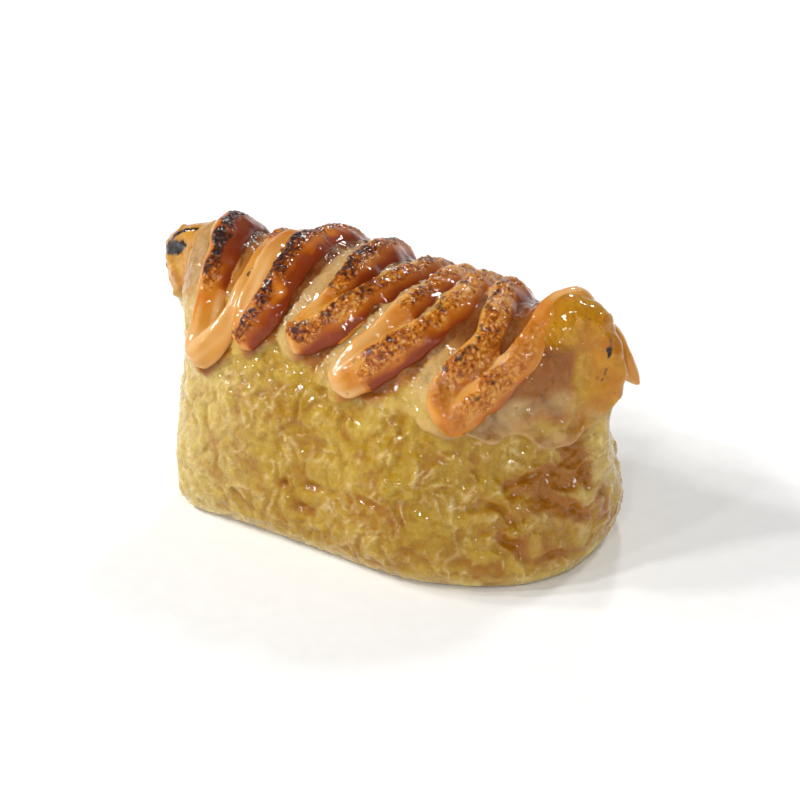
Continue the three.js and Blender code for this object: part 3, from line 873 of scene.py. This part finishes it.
# The flame browns the seams first, then whole patches.
grain_heat = add(tree, "Math", {0: heated, 1: 1.25, 2: -0.36}, operation="MULTIPLY_ADD")
grain_heat = add(tree, "Math", {0: uneven, 1: 1.7, 2: grain_heat}, operation="MULTIPLY_ADD")
grain_heat = add(tree, "Math", {0: seams, 1: 0.24, 2: grain_heat}, operation="MULTIPLY_ADD")
CRUST_TONES = [(0.1, "#c8903c"), (0.34, "#b06408"), (0.56, "#8a4200"), (0.8, "#582404"), (1.0, "#34160a")]
toasted = add(tree, "ValToRGB", {"Fac": grain_heat}, stops=[(at, linear(tint)) for at, tint in CRUST_TONES])
soft = add(tree, "MapRange", {0: heated, FROM_LOW: 0.05, FROM_HIGH: 0.4, TO_LOW: 0.75, TO_HIGH: 0.0})
soft = add(tree, "Math", {0: soft, 1: value["cream"]}, operation="MULTIPLY")
fleck_gap = add(tree, "TexVoronoi", {"Vector": where, "Scale": 1 / (3 * MM)})
flecks = add(tree, "MapRange", {0: fleck_gap, FROM_LOW: 0.12, FROM_HIGH: 0.06, TO_LOW: 0.0, TO_HIGH: 0.75})
blackened = add(tree, "Math", {0: uneven, 1: 1.2, 2: value["char"]}, operation="MULTIPLY_ADD")
blackened = add(
    tree, "MapRange", {0: blackened, FROM_LOW: 0.4, FROM_HIGH: 1.2, TO_LOW: 0.0, TO_HIGH: 0.9}
)
mayo_layers = [
    (value["crusty"], toasted),
    (soft, linear("#dab07a")),  # the cream of what stayed raw
    (flecks, linear("#8c3c10")),
    (blackened, linear("#1c120c")),
]
mayo_colour = caramelled
for share, tint in mayo_layers:
    mayo_colour = add(tree, "Mix", {SHARE: share, UNDER: mayo_colour, OVER: tint}, MIXED, data_type="RGBA")
print("layers of colour on the mayonnaise:", len(mayo_layers) + 1)

# %% [markdown]
# Fat stands on the crust in beads that sparkle, and lies on the smooth flanks in a film that sags. So
# the beads are held to the crust by its share, and the slow sag goes all over. The coat is a little
# thinner than on the hide, because the crust drinks some of it.

# %% Pits, beads of fat and the shader
grains = add(tree, "Math", {0: seams, 1: -0.7, 2: specks}, operation="MULTIPLY_ADD")
grains = add(tree, "Math", {0: grains, 1: value["crusty"]}, operation="MULTIPLY")
pitted = add(tree, "Bump", {"Height": grains, "Strength": 0.6, "Distance": 0.2 * MM})
beads = add(tree, "TexNoise", {"Vector": where, "Scale": 1 / (0.7 * MM), "Detail": 0.0})
beads = add(tree, "Math", {0: beads, 1: value["crusty"]}, operation="MULTIPLY")
sag = add(tree, "TexNoise", {"Vector": where, "Scale": 1 / (1.4 * MM), "Detail": 1.0})
fat_height = add(tree, "Math", {0: sag, 1: 0.6, 2: beads}, operation="MULTIPLY_ADD")
fat = add(tree, "Bump", {"Height": fat_height, "Strength": 1.0, "Distance": 0.22 * MM})
mayo_shader = add(
    tree,
    "BsdfPrincipled",
    {
        "Base Color": mayo_colour,
        "Roughness": 0.5,
        "IOR": 1.42,
        "Specular IOR Level": 0.1,
        "Subsurface Weight": 0.25,
        "Subsurface Radius": (1.0, 0.45, 0.15),
        "Subsurface Scale": 0.9 * MM,
        "Coat Weight": 0.85,
        "Coat Roughness": 0.06,
        "Coat IOR": 1.38,
        "Normal": pitted,
        "Coat Normal": fat,
    },
)
add(tree, "OutputMaterial", {"Surface": mayo_shader})
sauce.materials.append(torched_mayo)
print("nodes in the mayonnaise's material:", len(tree.nodes))

# %% [markdown]
# ## Back to the frame
# Nothing on this piece moves, so both skins ride on the one body. Each replaces the CAD solid that it
# was wrapped around, which then no longer shows.

# %% Tie the pieces to the frame
pieces = (
    (tofu_skin, "pouch", "fried_tofu"),
    (mayonnaise, "sauce_zigzag", "torched_mayonnaise"),
)
for piece, node, slot in pieces:
    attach(piece, "root")
    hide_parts(node)
    print(piece.name, "replaces", node)

# %% [markdown]
# ## Studio
# Wet food shows its gloss by what it mirrors. One big soft lamp lays a grey haze on dark caramel, and
# one small lamp casts a hard shadow. So each light here is a row of small lamps, soft in its shadows
# and still sharp in its glints: the key high on the left, a weaker row in front, a low one on the right
# and one behind that lights the ridge. The piece lies on matt white paper in a room with white walls.
# Paper is a mat of fine fibres, which gives the eye a soft even white with no gloss.

# %% Floor
REACH = 3.0  # metres from the middle, so that the floor fills the view
floor_mesh = bpy.data.meshes.new("floor")
floor_corners = [(-REACH, -REACH, 0), (REACH, -REACH, 0), (REACH, REACH, 0), (-REACH, REACH, 0)]
floor_mesh.from_pydata(floor_corners, [], [(0, 1, 2, 3)])
floor = bpy.data.objects.new("floor", floor_mesh)
bpy.context.scene.collection.objects.link(floor)
paper = bpy.data.materials.new("matt_white_paper")
paper.use_nodes = True
tree = paper.node_tree
tree.nodes.clear()
where = add(tree, "TexCoord", out="Object")
fibre = add(tree, "TexNoise", {"Vector": where, "Scale": 1 / (2.5 * MM), "Detail": 3.0})
PAPER_TONES = [(0.0, "#f4f4f2"), (1.0, "#fbfbfa")]
white = add(tree, "ValToRGB", {"Fac": fibre}, stops=[(at, linear(tint)) for at, tint in PAPER_TONES])
# The lamps stand close, so far from the piece the paper glows a little in place of the room's light.
away = add(tree, "VectorMath", {0: where}, "Value", operation="LENGTH")
climbing = {0: away, FROM_LOW: 0.05, FROM_HIGH: 0.9, TO_LOW: 0.0, TO_HIGH: 0.75}
glow = add(tree, "MapRange", climbing, interpolation_type="SMOOTHSTEP")
paper_look = {"Base Color": white, "Roughness": 0.9, "Emission Color": white, "Emission Strength": glow}
add(tree, "OutputMaterial", {"Surface": add(tree, "BsdfPrincipled", paper_look)})
floor_mesh.materials.append(paper)
print("floor, m across:", 2 * REACH)

# %% Lamps
TARGET = Vector((FOOT_MIDDLE * MM, 0, 17 * MM))  # the middle of the piece
LAMP_DISTANCE = 0.6  # metres

# Each row: the directions of its lamps from the piece, their size in metres, and their watts.
LIGHTS = {
    "key": (((-1.15, -0.4, 1.0), (-0.95, -0.6, 1.0), (-0.7, -0.8, 1.0)), 0.05, 0.95),
    "front": (((-0.35, -0.95, 0.55), (0.25, -0.8, 0.7)), 0.045, 0.42),
    "right": (((0.92, -0.45, 0.25), (0.7, -0.75, 0.35), (0.6, -0.5, 1.0)), 0.045, 0.36),
    "back": (((-0.35, 0.9, 0.8), (0.3, 0.9, 1.0)), 0.07, 0.85),
}


def lamp(name, towards, size, watts):
    """A small square lamp that shines on the piece from a direction."""
    data = bpy.data.lights.new(name, "AREA")
    data.size = size
    data.energy = watts
    lamp_object = bpy.data.objects.new(name, data)
    bpy.context.scene.collection.objects.link(lamp_object)
    direction = Vector(towards).normalized()
    lamp_object.location = TARGET + direction * LAMP_DISTANCE
    lamp_object.rotation_mode = "QUATERNION"
    lamp_object.rotation_quaternion = direction.to_track_quat("Z", "Y")


for light, (directions, size, watts) in LIGHTS.items():
    for number, direction in enumerate(directions):
        lamp(f"{light}_lamp_{number + 1}", direction, size, watts)
    print(light, "lamps:", len(directions))

# %% The room
# White walls all round, and a dim ceiling so that the wet food mirrors little of it.
WALL_TOP = 0.2  # as the upward part of a direction
CEILING = 0.4
world = bpy.data.worlds.new("white_room")
world.use_nodes = True
tree = world.node_tree
tree.nodes.clear()
upward = add(tree, "SeparateXYZ", {0: add(tree, "TexCoord", out="Generated")}, "Z")
room = add(tree, "ValToRGB", {"Fac": upward}, stops=[(WALL_TOP, (1, 1, 1, 1)), (CEILING, (0.1, 0.1, 0.1, 1))])
add(tree, "OutputWorld", {"Surface": add(tree, "Background", {"Color": room, "Strength": 0.82})})
bpy.context.scene.world = world
bpy.context.scene.view_settings.view_transform = "Standard"
print("nodes in the room:", len(tree.nodes))

# %% Camera
AZIMUTH = math.radians(32)
ELEVATION = math.radians(29)
CAMERA_DISTANCE = 0.254  # metres
across_floor = math.cos(ELEVATION)
back = Vector((math.sin(AZIMUTH) * across_floor, -math.cos(AZIMUTH) * across_floor, math.sin(ELEVATION)))
camera_data = bpy.data.cameras.new("camera")
camera_data.lens = 80
camera_data.clip_start = 0.01
camera = bpy.data.objects.new("camera", camera_data)
bpy.context.scene.collection.objects.link(camera)
camera.location = TARGET + back * CAMERA_DISTANCE
camera.rotation_mode = "QUATERNION"
camera.rotation_quaternion = back.to_track_quat("Z", "Y")
bpy.context.scene.camera = camera
print("camera at, mm:", [round(part / MM) for part in camera.location])
